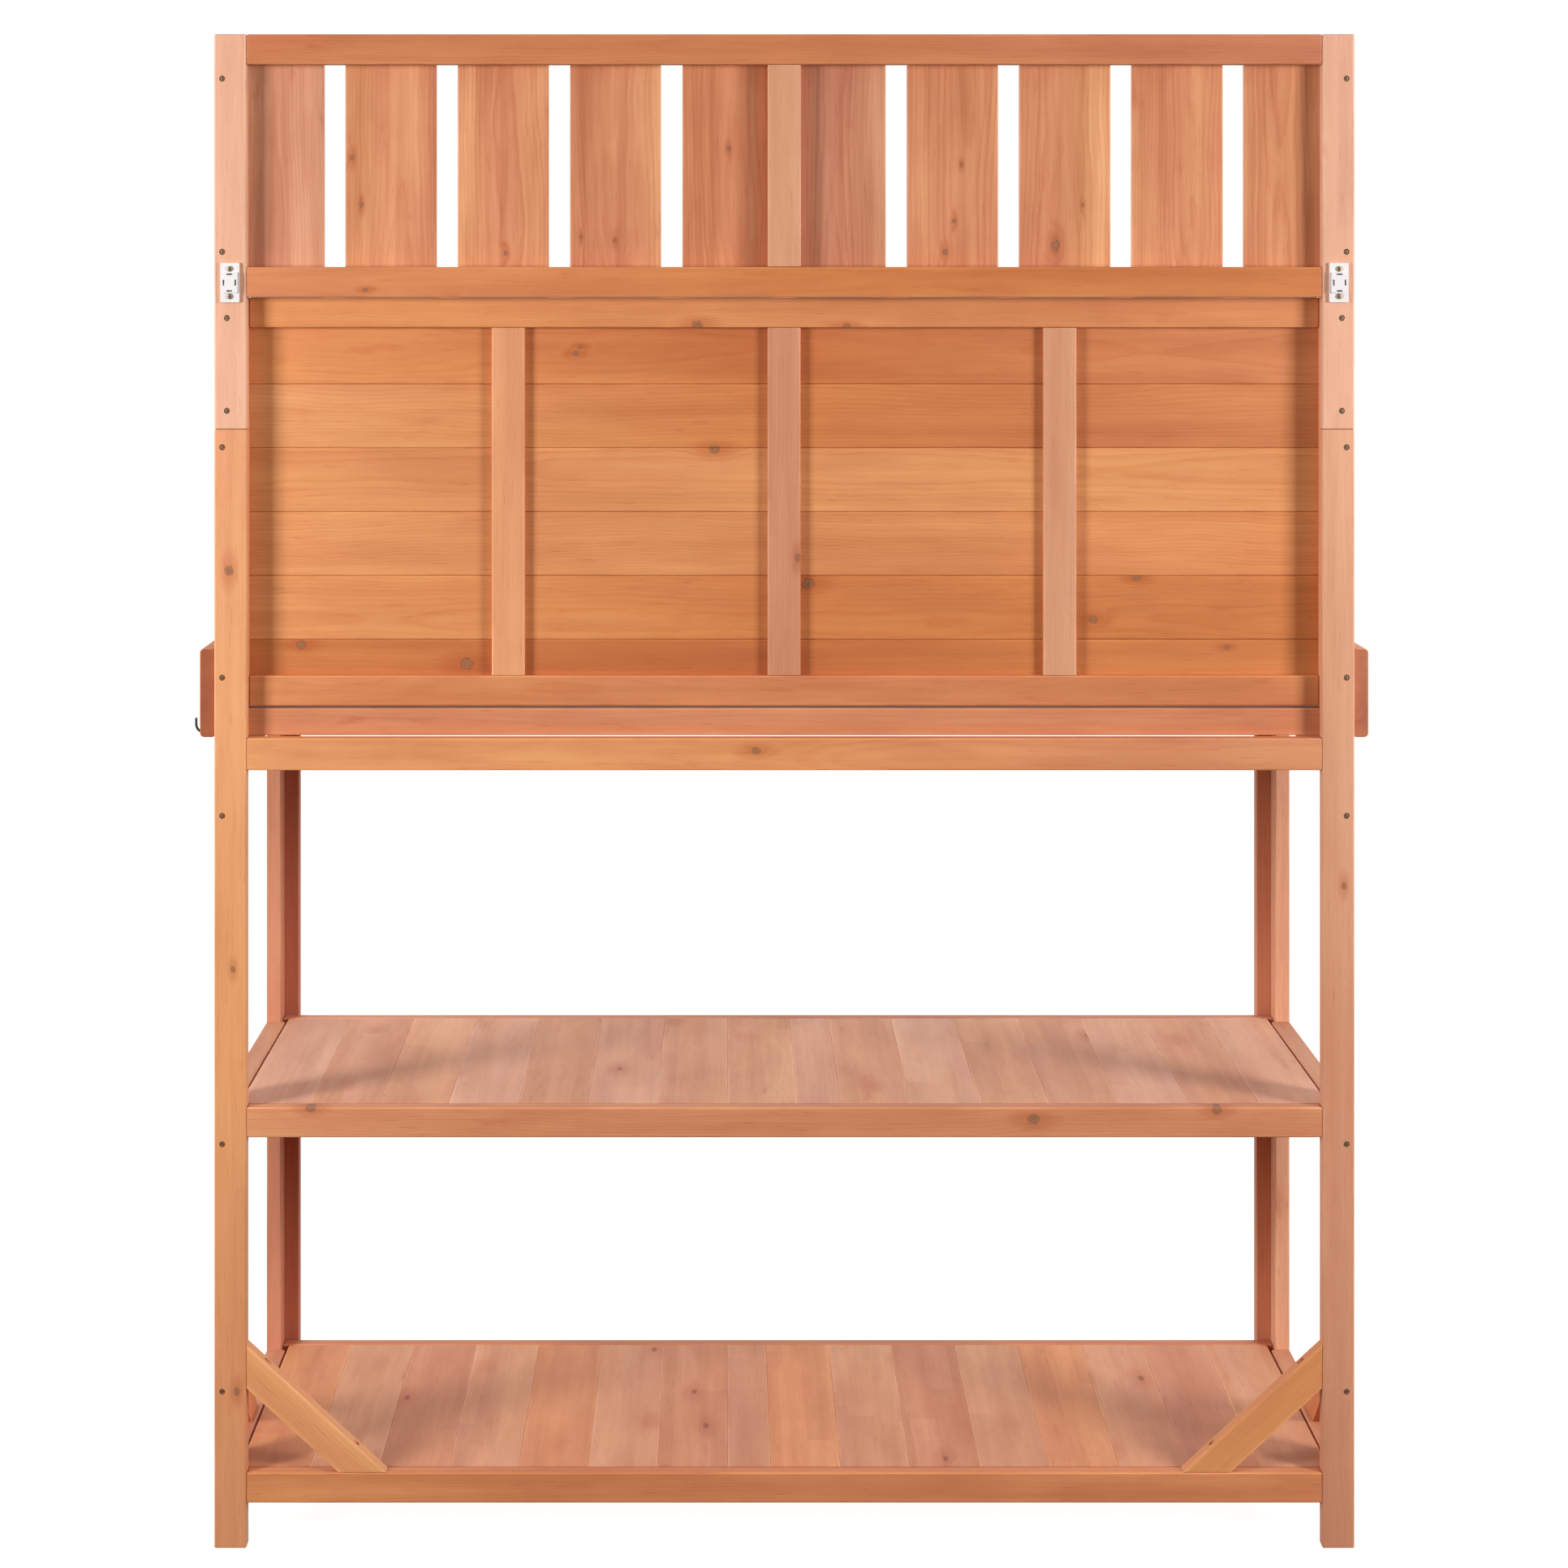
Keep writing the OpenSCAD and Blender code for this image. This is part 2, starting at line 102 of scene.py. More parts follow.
# The stained fir's tones, as sRGB; on some boards the deeper and paler ones also serve as painted shade and
# painted light
TONES = {
    "rose_pale": (230, 175, 145), "rose_light": (224, 164, 130), "rose": (215, 154, 120),
    "rose_deep": (208, 142, 110), "coral": (233, 166, 130), "umber": (192, 120, 95),
    "tan_pale": (230, 160, 116), "tan_light": (218, 148, 106), "tan": (210, 140, 101),
    "tan_deep": (204, 131, 94), "amber_pale": (227, 157, 106), "amber_light": (223, 150, 98),
    "amber": (215, 140, 92), "amber_deep": (206, 127, 77), "russet_pale": (222, 144, 92),
    "russet_light": (211, 134, 91), "russet": (206, 130, 86), "russet_deep": (198, 116, 71),
}


def stain(tones):
    """Colours for the wood, for boards that look like these tones under a little sheen; on some boards they
    are partly painted light and shade.
    """
    out = []
    for tone in tones.split():
        v = np.array(TONES[tone]) / 255
        v = np.where(v <= 0.04045, v / 12.92, ((v + 0.055) / 1.055) ** 2.4)
        out.append(v - SHEEN)
    return np.array(out)


def rounded(a0, a1, b0, b1, r, n=4):
    """Outline of a rectangle with round corners, anticlockwise."""
    out = []
    for (ca, cb, start) in ((a1 - r, b1 - r, 0), (a0 + r, b1 - r, 90),
                            (a0 + r, b0 + r, 180), (a1 - r, b0 + r, 270)):
        for i in range(n + 1):
            t = math.radians(start + 90 * i / n)
            out.append((ca + r * math.cos(t), cb + r * math.sin(t)))
    return out


class Board:
    """One length of timber: its box, the way its grain runs, and how it looks."""

    def __init__(self, lo, hi, tint, rng, ease=1.8, end=0.8, cut="mixed", knots=()):
        self.lo, self.hi = np.array(lo, float), np.array(hi, float)
        size = self.hi - self.lo
        self.u = int(np.argmax(size))
        rest = [i for i in range(3) if i != self.u]
        self.w = rest[0] if size[rest[0]] < size[rest[1]] else rest[1]
        self.v = [i for i in rest if i != self.w][0]
        self.mid = (self.lo + self.hi) / 2
        self.half = size[[self.u, self.v, self.w]] / 2
        self.tint = tint * (1 + rng.uniform(-0.02, 0.02))
        if len(self.tint) == 1:
            self.tint = np.repeat(self.tint, 2, axis=0)
        self.seed = [rng.uniform(0, 10) for _ in range(3)]
        if cut == "mixed":
            cut = rng.choice(["flat", "rift", "rift"])
        side = rng.choice([-1, 1])
        if cut == "flat":
            self.ring = (rng.uniform(-0.4, 0.4) * self.half[1], side * rng.uniform(0.022, 0.05),
                         rng.uniform(0.0026, 0.0038))
        else:
            self.ring = (rng.uniform(0.06, 0.13) * side, rng.uniform(0.03, 0.09) * rng.choice([-1, 1]),
                         rng.uniform(0.0022, 0.0034))
        self.ease, self.end = ease * MM, end * MM
        self.outline = None
        self.knots = []
        for x, y, z, radius in knots:
            place = np.array([x, y, z]) * MM - self.mid
            self.knots.append((place[self.u], place[self.v], radius * MM))

    def tones(self, along):
        """The board's colour at each place along its grain; where the tones change along it they are partly
        painted light and shade.
        """
        t = np.clip(along / (2 * self.half[0]) + 0.5, 0, 1) * (len(self.tint) - 1)
        return np.stack([np.interp(t, range(len(self.tint)), self.tint[:, c]) for c in range(3)], axis=1)

    def mesh(self):
        """Vertices and faces of the board."""
        u, v, w = self.u, self.v, self.w
        verts, faces = [], []
        e, r = self.end, min(self.ease, 0.45 * 2 * self.half[2])
        stations = [(self.lo[u] + e * (1 - math.sin(t)), e * (1 - math.cos(t)))
                    for t in (math.pi / 2, math.pi / 4, 0)]
        stations += [(self.lo[u] + (self.hi[u] - self.lo[u]) * k / 4, 0.0) for k in (1, 2, 3)]
        stations += [(self.hi[u] - e * (1 - math.sin(t)), e * (1 - math.cos(t)))
                     for t in (0, math.pi / 4, math.pi / 2)]
        count = None
        for s, inset in stations:
            if self.outline is not None:
                ring = self.outline(inset)
            else:
                ring = rounded(self.lo[v] + inset, self.hi[v] - inset, self.lo[w] + inset,
                               self.hi[w] - inset, max(r - inset, 0.25 * r))
            count = len(ring)
            for a, b in ring:
                p = [0.0, 0.0, 0.0]
                p[u], p[v], p[w] = s, a, b
                verts.append(p)
        for k in range(len(stations) - 1):
            for i in range(count):
                j = (i + 1) % count
                faces.append((k * count + i, k * count + j, (k + 1) * count + j, (k + 1) * count + i))
        faces.append(tuple(range(count)))
        last = (len(stations) - 1) * count
        faces.append(tuple(range(last + count - 1, last - 1, -1)))
        return verts, faces

    def coords(self, co):
        """Places on the board, along the grain, across the face and through the thickness."""
        return (co - self.mid)[:, [self.u, self.v, self.w]]


def write_attributes(mesh, boards, counts):
    """Gives each vertex its board's grain coordinates and looks."""
    co = np.zeros(len(mesh.vertices) * 3)
    mesh.vertices.foreach_get("co", co)
    co = co.reshape(-1, 3)
    names = ("bc", "half", "seed", "tint", "ring", "ka", "kb", "kc")
    data = {n: np.zeros((len(co), 3)) for n in names}
    start = 0
    for b, n in zip(boards, counts):
        s = slice(start, start + n)
        data["bc"][s] = b.coords(co[s])
        data["tint"][s] = b.tones(data["bc"][s][:, 0])
        for name, value in (("half", b.half), ("seed", b.seed), ("ring", b.ring)):
            data[name][s] = value
        for i, name in enumerate(("ka", "kb", "kc")):
            data[name][s] = b.knots[i] if i < len(b.knots) else NO_KNOT
        start += n
    for n in names:
        layer = mesh.attributes.new(n, "FLOAT_VECTOR", "POINT")
        layer.data.foreach_set("vector", data[n].astype(np.float32).ravel())


def settle(obj):
    """Turns every face outwards."""
    bm = bmesh.new()
    bm.from_mesh(obj.data)
    bmesh.ops.recalc_face_normals(bm, faces=bm.faces)
    bm.to_mesh(obj.data)
    bm.free()


def finish_mesh(obj, angle=40):
    """Smooth shading, with edges sharper than the angle kept sharp."""
    settle(obj)
    obj.data.shade_smooth()
    obj.data.set_sharp_from_angle(angle=math.radians(angle))
    weigh = obj.modifiers.new("normals", "WEIGHTED_NORMAL")
    weigh.keep_sharp = True
    weigh.weight = 100


def new_object(name, verts, faces):
    """A new mesh object in the scene."""
    mesh = bpy.data.meshes.new(name)
    mesh.from_pydata([tuple(v) for v in verts], [], faces)
    mesh.update()
    obj = bpy.data.objects.new(name, mesh)
    bpy.context.scene.collection.objects.link(obj)
    return obj


def cylinder_mesh(bm, start, direction, radius, length, n):
    """Adds a closed cylinder that runs from a place in a direction."""
    turn = Vector((0, 0, 1)).rotation_difference(Vector(direction)).to_matrix().to_4x4()
    middle = Vector(start) + Vector(direction) * length / 2
    bmesh.ops.create_cone(bm, cap_ends=True, segments=n, radius1=radius, radius2=radius,
                          depth=length, matrix=Matrix.Translation(middle) @ turn)


def bore_mesh(bm, start, direction, steps, n=32):
    """A closed cutter for a bore; steps are the radius and length of each stretch of it."""
    turn = Vector((0, 0, 1)).rotation_difference(Vector(direction)).to_matrix()
    rings, at = [], 0.0
    for radius, length in steps:
        for depth in (at, at + length):
            around = [Vector((radius * math.cos(2 * math.pi * i / n),
                              radius * math.sin(2 * math.pi * i / n), depth)) for i in range(n)]
            rings.append([bm.verts.new(Vector(start) + turn @ p) for p in around])
        at += length
    for a, b in zip(rings, rings[1:]):
        for i in range(n):
            j = (i + 1) % n
            bm.faces.new((a[i], a[j], b[j], b[i]))
    bm.faces.new(list(reversed(rings[0])))
    bm.faces.new(rings[-1])


def subtract(obj, cutter):
    """Takes a cutter's shape out of an object's mesh, and removes the cutter."""
    cut = obj.modifiers.new("cut", "BOOLEAN")
    cut.operation, cut.solver, cut.object = "DIFFERENCE", "EXACT", cutter
    dg = bpy.context.evaluated_depsgraph_get()
    dg.update()
    result = bpy.data.meshes.new_from_object(obj.evaluated_get(dg))
    obj.modifiers.clear()
    obj.data = result
    bpy.data.objects.remove(cutter)


def cut_bores(obj, bores):
    """Cuts every bore into an object at once."""
    bm = bmesh.new()
    for start, direction, steps in bores:
        bore_mesh(bm, start, direction, steps)
    cutter = new_object(obj.name + "_cutter", [], [])
    bm.to_mesh(cutter.data)
    bm.free()
    settle(cutter)
    subtract(obj, cutter)


def timber(node, boards, material, bores=()):
    """One piece of timber, or a group of them, that stands for a CAD node."""
    verts, faces, counts = [], [], []
    for b in boards:
        v, f = b.mesh()
        faces += [tuple(i + len(verts) for i in face) for face in f]
        verts += v
        counts.append(len(v))
    obj = new_object(node + "_timber", verts, faces)
    settle(obj)
    if bores:
        cut_bores(obj, bores)
        counts = [len(obj.data.vertices)]
    finish_mesh(obj)
    write_attributes(obj.data, boards, counts)
    obj.data.materials.clear()
    obj.data.materials.append(material)
    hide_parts(node)
    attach(obj, "root")


# ---- Materials ----

class Graph:
    """Short names for building a material's nodes."""

    def __init__(self, name):
        self.mat = bpy.data.materials.new(name)
        self.mat.use_nodes = True
        self.tree = self.mat.node_tree
        self.shader = self.tree.nodes["Principled BSDF"]

    def put(self, socket, value):
        if isinstance(value, bpy.types.NodeSocket):
            self.tree.links.new(value, socket)
        else:
            socket.default_value = value

    def math(self, op, a, b=None, c=None, clamp=False):
        n = self.tree.nodes.new("ShaderNodeMath")
        n.operation, n.use_clamp = op, clamp
        for i, x in enumerate((a, b, c)):
            if x is not None:
                self.put(n.inputs[i], x)
        return n.outputs[0]

    def vec(self, op, a, b):
        n = self.tree.nodes.new("ShaderNodeVectorMath")
        n.operation = op
        self.put(n.inputs[0], a)
        self.put(n.inputs[3 if op == "SCALE" else 1], b)
        return n.outputs[0]

    def attr(self, name):
        n = self.tree.nodes.new("ShaderNodeAttribute")
        n.attribute_name = name
        return n.outputs["Vector"]

    def split(self, v):
        n = self.tree.nodes.new("ShaderNodeSeparateXYZ")
        self.put(n.inputs[0], v)
        return n.outputs[0], n.outputs[1], n.outputs[2]

    def join(self, x, y, z):
        n = self.tree.nodes.new("ShaderNodeCombineXYZ")
        for i, a in enumerate((x, y, z)):
            self.put(n.inputs[i], a)
        return n.outputs[0]

    def noise(self, v, detail=2.0, rough=0.5):
        n = self.tree.nodes.new("ShaderNodeTexNoise")
        self.put(n.inputs["Vector"], v)
        n.inputs["Scale"].default_value = 1.0
        n.inputs["Detail"].default_value = detail
        n.inputs["Roughness"].default_value = rough
        return n.outputs["Fac"]

    def white(self, w):
        n = self.tree.nodes.new("ShaderNodeTexWhiteNoise")
        n.noise_dimensions = "1D"
        self.put(n.inputs["W"], w)
        return n.outputs["Value"]

    def step(self, x, lo, hi, out_lo=0.0, out_hi=1.0, kind="SMOOTHSTEP"):
        n = self.tree.nodes.new("ShaderNodeMapRange")
        n.interpolation_type = kind
        n.clamp = True
        for i, a in enumerate((x, lo, hi, out_lo, out_hi)):
            self.put(n.inputs[i], a)
        return n.outputs[0]

    def ramp(self, x, stops):
        n = self.tree.nodes.new("ShaderNodeValToRGB")
        while len(n.color_ramp.elements) < len(stops):
            n.color_ramp.elements.new(0.5)
        for e, (p, c) in zip(n.color_ramp.elements, stops):
            e.position, e.color = p, (c, c, c, 1)
        self.put(n.inputs[0], x)
        return n.outputs[0]

    def mix(self, f, a, b):
        n = self.tree.nodes.new("ShaderNodeMix")
        n.data_type = "VECTOR"
        self.put(n.inputs["Factor"], f)
        self.put(n.inputs[4], a)
        self.put(n.inputs[5], b)
        return n.outputs[1]

    def bump(self, height, distance, strength=1.0):
        n = self.tree.nodes.new("ShaderNodeBump")
        n.inputs["Strength"].default_value = strength
        n.inputs["Distance"].default_value = distance
        self.put(n.inputs["Height"], height)
        self.tree.links.new(n.outputs[0], self.shader.inputs["Normal"])


def tone(g, colour, amount, weights):
    """Colour times (1 + amount * weight) in each channel."""
    change = g.vec("SCALE", g.join(*weights), amount)
    return g.vec("MULTIPLY", colour, g.vec("ADD", change, (1, 1, 1)))


def fir(name, rings=1.0, streaks=1.0, clouds=1.0, pins=0.0, staves=0.0, rough=0.6):
    """Stained fir: growth rings about each board's own pith, fibres, stain marks and knots."""
    g = Graph(name)
    bc, half, seed = g.attr("bc"), g.attr("half"), g.attr("seed")
    u, v, w = g.split(bc)
    hu, hv, hw = g.split(half)
    pith_v, pith_w, spacing = g.split(g.attr("ring"))
    sx, sy, sz = g.split(seed)

    def grain_noise(along, across, shift, detail=2.0, roughness=0.5):
        at = g.vec("MULTIPLY", bc, (along, across, across))
        return g.noise(g.vec("ADD", at, g.vec("SCALE", seed, shift)), detail, roughness)

    ragged = grain_noise(160, 260, 2.3)
    core = halo = flow = inner = None
    for k in ("ka", "kb", "kc"):
        ku, kv, kr = g.split(g.attr(k))
        r = g.math("MAXIMUM", kr, 0.0001)
        du = g.math("DIVIDE", g.math("SUBTRACT", u, ku), r)
        dv = g.math("DIVIDE", g.math("SUBTRACT", v, kv), r)
        du2, dv2 = g.math("MULTIPLY", du, du), g.math("MULTIPLY", dv, dv)
        q = g.math("SQRT", g.math("ADD", g.math("MULTIPLY", du2, 0.6), dv2))
        q = g.math("ADD", q, g.math("MULTIPLY_ADD", ragged, 0.8, -0.4))
        swell = g.math("EXPONENT", g.math("MULTIPLY", g.math("MULTIPLY_ADD", du2, 0.2, dv2), -0.28))
        bend = g.math("MULTIPLY", g.math("MULTIPLY", swell, kr), 1.3)
        in_core = g.step(q, 0.45, 1.15, 1.0, 0.0)
        spread = g.math("SQRT", g.math("ADD", g.math("MULTIPLY", du2, 0.16), dv2))
        in_halo = g.step(spread, 0.6, 2.6, 1.0, 0.0)
        if core is None:
            core, halo, flow, inner = in_core, in_halo, bend, q
        else:
            core, halo = g.math("MAXIMUM", core, in_core), g.math("MAXIMUM", halo, in_halo)
            flow, inner = g.math("ADD", flow, bend), g.math("MINIMUM", inner, q)

    slow = g.math("MULTIPLY_ADD", grain_noise(1.7, 4.0, 1.1), 0.036, -0.018)
    quick = g.math("MULTIPLY_ADD", grain_noise(9.0, 30.0, 1.9), 0.006, -0.003)
    vv, ww = g.math("SUBTRACT", v, pith_v), g.math("SUBTRACT", w, pith_w)
    radius = g.math("SQRT", g.math("ADD", g.math("MULTIPLY", vv, vv), g.math("MULTIPLY", ww, ww)))
    for part in (slow, quick, flow):
        radius = g.math("ADD", radius, part)
    phase = g.math("DIVIDE", radius, spacing)
    cycle = g.math("FRACT", phase)
    ring_chance = g.white(g.math("ADD", g.math("FLOOR", phase), sx))
    late = g.ramp(cycle, [(0.0, 0.25), (0.12, 0.0), (0.5, 0.1), (0.82, 0.75), (0.93, 1.0), (1.0, 0.25)])
    late = g.math("MULTIPLY", late, g.math("MULTIPLY_ADD", ring_chance, 0.8, 0.2))
    pale = g.step(g.math("ABSOLUTE", g.math("SUBTRACT", cycle, 0.3)), 0.0, 0.13, 1.0, 0.0)
    pale = g.math("MULTIPLY", pale, g.step(ring_chance, 0.0, 0.28, 1.0, 0.0))
    pale = g.math("MULTIPLY", pale, g.step(grain_noise(5, 30, 7.7), 0.42, 0.6))

    streak = g.math("SUBTRACT", grain_noise(1.5, 48, 3.1, 3.0, 0.6), 0.5)
    band = g.math("SUBTRACT", grain_noise(0.9, 14, 4.3, 1.0), 0.5)
    cloud = g.math("SUBTRACT", grain_noise(5.5, 24, 5.7, 3.0, 0.6), 0.5)
    drift = g.math("SUBTRACT", grain_noise(2.6, 7, 9.1, 2.0, 0.5), 0.5)
    fibre = g.math("SUBTRACT", grain_noise(24, 1300, 0.7, 2.0), 0.5)
    fleck = g.step(grain_noise(34, 520, 6.1, 1.0), 0.66, 0.74)
    stain_mark = g.step(grain_noise(11, 45, 8.9, 3.0, 0.6), 0.62, 0.8)

    colour = g.attr("tint")
    colour = tone(g, colour, late, tuple(-rings * x for x in (0.07, 0.14, 0.19)))
    colour = tone(g, colour, pale, tuple(rings * x for x in (0.10, 0.20, 0.26)))
    colour = tone(g, colour, streak, tuple(streaks * x for x in (0.30, 0.48, 0.60)))
    colour = tone(g, colour, band, tuple(streaks * x for x in (0.16, 0.36, 0.28)))
    colour = tone(g, colour, cloud, tuple(clouds * x for x in (0.26, 0.42, 0.48)))
    colour = tone(g, colour, drift, tuple(clouds * x for x in (0.14, 0.26, 0.22)))
    colour = tone(g, colour, stain_mark, tuple(-clouds * x for x in (0.07, 0.16, 0.17)))
    colour = tone(g, colour, fibre, (0.12, 0.18, 0.22))
    colour = tone(g, colour, fleck, (-0.08, -0.15, -0.19))
    if staves:
        strip = g.math("FLOOR", g.math("MULTIPLY_ADD", v, 36, sy))
        shift = g.white(g.math("ADD", strip, sx))
        block = g.math("FLOOR", g.math("ADD", g.math("MULTIPLY", u, 3.2), g.math("MULTIPLY", shift, 9)))
        hashed = g.tree.nodes.new("ShaderNodeTexWhiteNoise")
        hashed.noise_dimensions = "3D"
        g.put(hashed.inputs["Vector"], g.join(strip, block, sz))
        warm = g.math("SUBTRACT", hashed.outputs["Value"], 0.5)
        pink = g.math("SUBTRACT", g.split(hashed.outputs["Color"])[1], 0.5)
        colour = tone(g, colour, warm, tuple(staves * x for x in (0.16, 0.22, 0.22)))
        colour = tone(g, colour, pink, tuple(staves * x for x in (0.02, 0.05, 0.22)))
    if pins:
        cells = g.tree.nodes.new("ShaderNodeTexVoronoi")
        cells.inputs["Scale"].default_value = 1.0
        at = g.vec("MULTIPLY", bc, (9, 22, 22))
        g.put(cells.inputs["Vector"], g.vec("ADD", at, g.vec("SCALE", seed, 8.3)))
        chance = g.split(cells.outputs["Color"])[0]
        near = g.math("GREATER_THAN", chance, 1 - pins)
        dot = g.math("MULTIPLY", g.step(cells.outputs["Distance"], 0.03, 0.11, 1.0, 0.0), near)
        flush = g.math("MULTIPLY", g.step(cells.outputs["Distance"], 0.05, 0.45, 1.0, 0.0), near)
        colour = g.mix(flush, colour, tone(g, colour, 1.0, (-0.10, -0.24, -0.28)))
        colour = g.mix(dot, colour, tone(g, colour, 1.0, (-0.40, -0.52, -0.56)))
    colour = g.mix(halo, colour, tone(g, colour, 1.0, (-0.14, -0.27, -0.33)))
    knot_rings = g.math("SINE", g.math("MULTIPLY", inner, 14))
    knot = tone(g, (0.30, 0.135, 0.066), knot_rings, (0.2, 0.24, 0.28))
    dark_rim = g.step(g.math("ABSOLUTE", g.math("SUBTRACT", inner, 0.75)), 0.0, 0.25, 1.0, 0.0)
    knot = tone(g, knot, dark_rim, (-0.4, -0.46, -0.46))
    colour = g.mix(g.math("MULTIPLY", core, 0.85), colour, knot)

    end = g.step(g.math("SUBTRACT", hu, g.math("ABSOLUTE", u)), 0.0002, 0.0006, 1.0, 0.0)
    colour = g.mix(end, colour, tone(g, colour, 1.0, (-0.30, -0.46, -0.52)))
    near_v = g.step(g.math("SUBTRACT", hv, g.math("ABSOLUTE", v)), 0.0003, 0.0024, 1.0, 0.0)
    near_w = g.step(g.math("SUBTRACT", hw, g.math("ABSOLUTE", w)), 0.0003, 0.0024, 1.0, 0.0)
    # Eased edges made lighter: partly rubbed stain, partly a painted highlight where the rounded edges catch
    # the light.
    rubbed_and_highlit_edge = g.math("MULTIPLY", g.math("MULTIPLY", near_v, near_w), g.step(cloud, -0.12, 0.1, 0.25, 1.0))
    colour = tone(g, colour, rubbed_and_highlit_edge, (0.16, 0.26, 0.32))
    g.put(g.shader.inputs["Base Color"], colour)

    finish = g.math("MULTIPLY_ADD", fibre, 0.25, rough)
    finish = g.math("MULTIPLY_ADD", late, -0.08, finish)
    finish = g.math("MULTIPLY_ADD", end, 0.2, finish, clamp=True)
    g.put(g.shader.inputs["Roughness"], finish)
    g.shader.inputs["Specular IOR Level"].default_value = 0.35
    height = g.math("MULTIPLY_ADD", late, 0.5, g.math("MULTIPLY", fibre, 0.9))
    height = g.math("MULTIPLY_ADD", core, 0.8, height)
    g.bump(height, 0.00018, 0.6)
    return g.mat


def plastic():
    """White nylon with a fine grit."""
    g = Graph("white_nylon")
    place = g.tree.nodes.new("ShaderNodeTexCoord").outputs["Object"]
    mottle = g.noise(g.vec("MULTIPLY", place, (180, 180, 180)), 3.0)
    grit = g.noise(g.vec("MULTIPLY", place, (2600, 2600, 2600)), 1.0)
    colour = tone(g, (0.83, 0.795, 0.79), g.math("SUBTRACT", mottle, 0.5), (0.10, 0.11, 0.12))
    g.put(g.shader.inputs["Base Color"], colour)
    g.put(g.shader.inputs["Roughness"], g.math("MULTIPLY_ADD", grit, 0.2, 0.32))
    g.shader.inputs["Subsurface Weight"].default_value = 0.08
    g.shader.inputs["Subsurface Scale"].default_value = 0.002
    g.bump(grit, 0.00005, 0.5)
    return g.mat


def coated_wire():
    """Dark green-black coating on steel wire."""
    g = Graph("coated_wire")
    place = g.tree.nodes.new("ShaderNodeTexCoord").outputs["Object"]
    mottle = g.noise(g.vec("MULTIPLY", place, (300, 300, 300)), 3.0)
    grit = g.noise(g.vec("MULTIPLY", place, (3500, 3500, 3500)), 2.0)
    colour = tone(g, (0.042, 0.060, 0.052), g.math("SUBTRACT", mottle, 0.5), (0.7, 0.6, 0.6))
    g.put(g.shader.inputs["Base Color"], colour)
    g.put(g.shader.inputs["Roughness"], g.math("MULTIPLY_ADD", mottle, 0.25, 0.22))
    g.shader.inputs["Metallic"].default_value = 0.25
    g.shader.inputs["Coat Weight"].default_value = 0.4
    g.shader.inputs["Coat Roughness"].default_value = 0.2
    g.bump(grit, 0.00004, 0.5)
    return g.mat


def screw_steel():
    """Browned zinc plating."""
    g = Graph("brown_zinc")
    place = g.tree.nodes.new("ShaderNodeTexCoord").outputs["Object"]
    mottle = g.noise(g.vec("MULTIPLY", place, (900, 900, 900)), 3.0)
    fine = g.noise(g.vec("MULTIPLY", place, (5200, 5200, 5200)), 1.0)
    colour = tone(g, (0.36, 0.26, 0.17), g.math("SUBTRACT", mottle, 0.5), (1.1, 1.1, 0.9))
    g.put(g.shader.inputs["Base Color"], colour)
    g.put(g.shader.inputs["Roughness"], g.math("MULTIPLY_ADD", fine, 0.3, 0.36))
    g.shader.inputs["Metallic"].default_value = 0.75
    g.bump(fine, 0.00004, 0.6)
    return g.mat


# ---- Screws ----

def screw_list(node):
    """Where each screw's head ends, which way it looks, its head's radius and its length."""
    out = []
    for lo, hi, points in solids(node):
        size = hi - lo
        axis = int(np.argmax(size))
        other = (axis + 1) % 3
        spread = [np.ptp(points[np.abs(points[:, axis] - end) < 1e-5][:, other])
                  for end in (lo[axis], hi[axis])]
        sign = 1.0 if spread[1] > spread[0] else -1.0
        top = (lo + hi) / 2
        top[axis] = hi[axis] if sign > 0 else lo[axis]
        out_dir = [0.0, 0.0, 0.0]
        out_dir[axis] = sign
        out.append((Vector(top), Vector(out_dir), size[other] / 2, size[axis]))
    return out


def head_mesh(radius, height, arm=0.42, blade=0.105):
    """A screw's domed head with a cross recess, its crown at the origin and facing +Z."""
    bm = bmesh.new()
    profile = [(0.0, 0.0), (0.35, -0.01), (0.62, -0.045), (0.82, -0.11), (0.95, -0.2), (1.0, -0.3)]
    rings = []
    n = 40
    for r, z in profile:
        if r == 0:
            rings.append([bm.verts.new((0, 0, 0))])
        else:
            rings.append([bm.verts.new((radius * r * math.cos(2 * math.pi * i / n),
                                        radius * r * math.sin(2 * math.pi * i / n), radius * z))
                          for i in range(n)])
    rings.append([bm.verts.new((radius * math.cos(2 * math.pi * i / n),
                                radius * math.sin(2 * math.pi * i / n), -height)) for i in range(n)])
    for k in range(len(rings) - 1):
        a, b = rings[k], rings[k + 1]
        for i in range(n):
            j = (i + 1) % n
            if len(a) == 1:
                bm.faces.new((a[0], b[i], b[j]))
            else:
                bm.faces.new((a[i], b[i], b[j], a[j]))
    bm.faces.new(list(reversed(rings[-1])))
    body = new_object("head_body", [], [])
    bmesh.ops.recalc_face_normals(bm, faces=bm.faces)
    bm.to_mesh(body.data)
    bm.free()
    for turn in (0, 90):
        bm = bmesh.new()
        top, bottom = [], []
        for x, y in ((-arm, -blade), (arm, -blade), (arm, blade), (-arm, blade)):
            top.append(bm.verts.new((radius * x, radius * y, radius * 0.1)))
            bottom.append(bm.verts.new((radius * x * 0.45, radius * y * 0.8, -radius * 0.55)))
        for i in range(4):
            j = (i + 1) % 4
            bm.faces.new((top[i], top[j], bottom[j], bottom[i]))
        bm.faces.new(top)
        bm.faces.new(list(reversed(bottom)))
        bmesh.ops.recalc_face_normals(bm, faces=bm.faces)
        bmesh.ops.rotate(bm, verts=bm.verts, matrix=Matrix.Rotation(math.radians(turn), 3, "Z"))
        cutter = new_object("head_cutter", [], [])
        bm.to_mesh(cutter.data)
        bm.free()
        subtract(body, cutter)
    mesh = body.data
    bpy.data.objects.remove(body)
    return mesh


